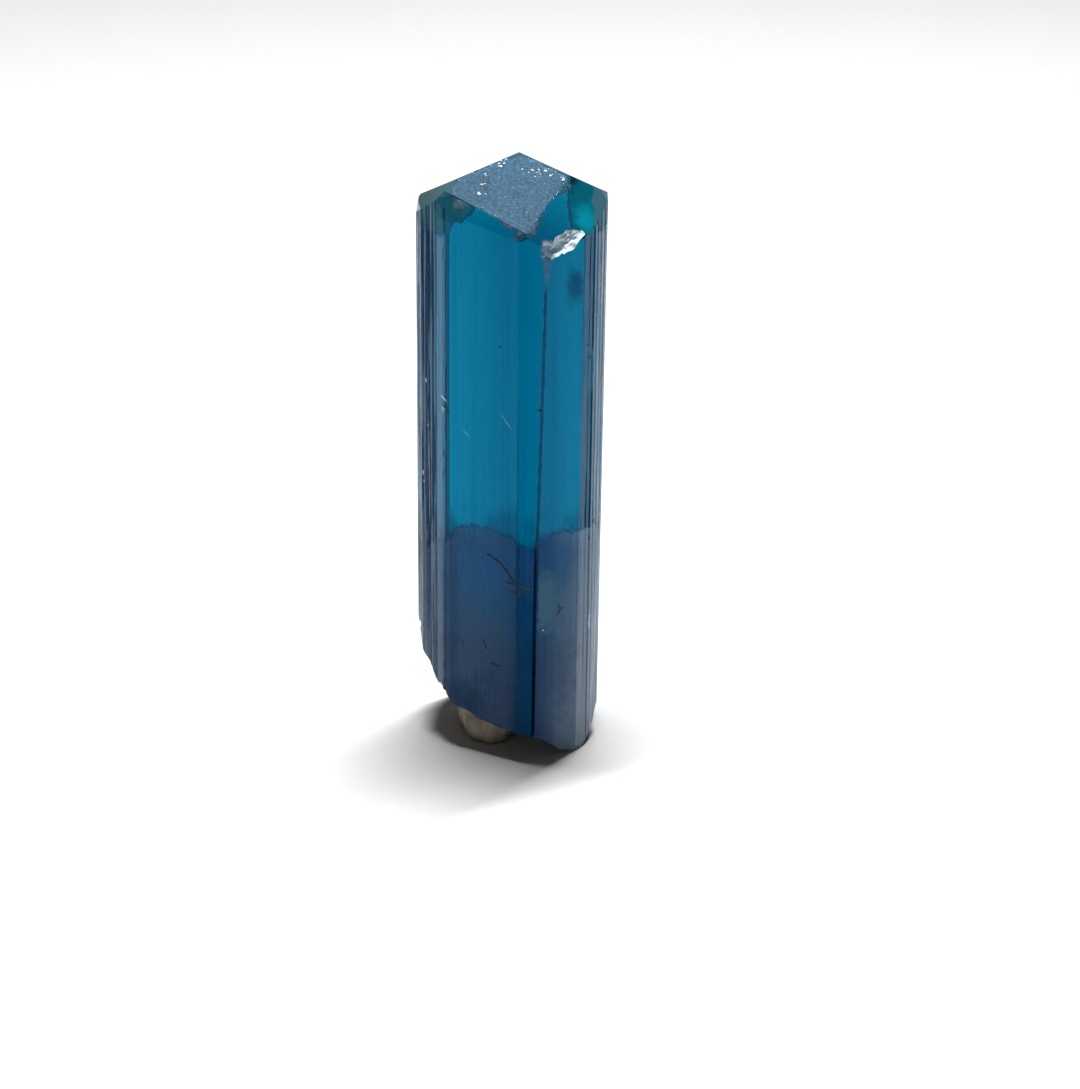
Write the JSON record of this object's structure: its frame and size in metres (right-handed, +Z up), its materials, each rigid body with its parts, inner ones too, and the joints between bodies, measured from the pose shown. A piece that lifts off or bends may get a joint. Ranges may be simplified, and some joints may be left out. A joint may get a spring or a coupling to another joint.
{
  "type": "tourmaline crystal",
  "caption": "See-through blue tourmaline crystal, a striated prism with a low pointed end and a broken foot, standing upright on a small dab of putty.",
  "frame": {"origin": "on the surface that it stands on, below the middle of its bounding box", "axes": "+Z up along the crystal's long axis, towards the pointed end; -Y the front, with the widest clear face and the etched end face; +X to the right as seen from the front"},
  "size_m": [0.0114, 0.0114, 0.0372],
  "materials": {
    "tourmaline": "polished natural faces, the front of the point etched frosty",
    "putty": "soft, waxy, dull"
  },
  "bodies": {
    "root": {"crystal": "tourmaline", "putty_dab": "putty"}
  },
  "joints": []
}
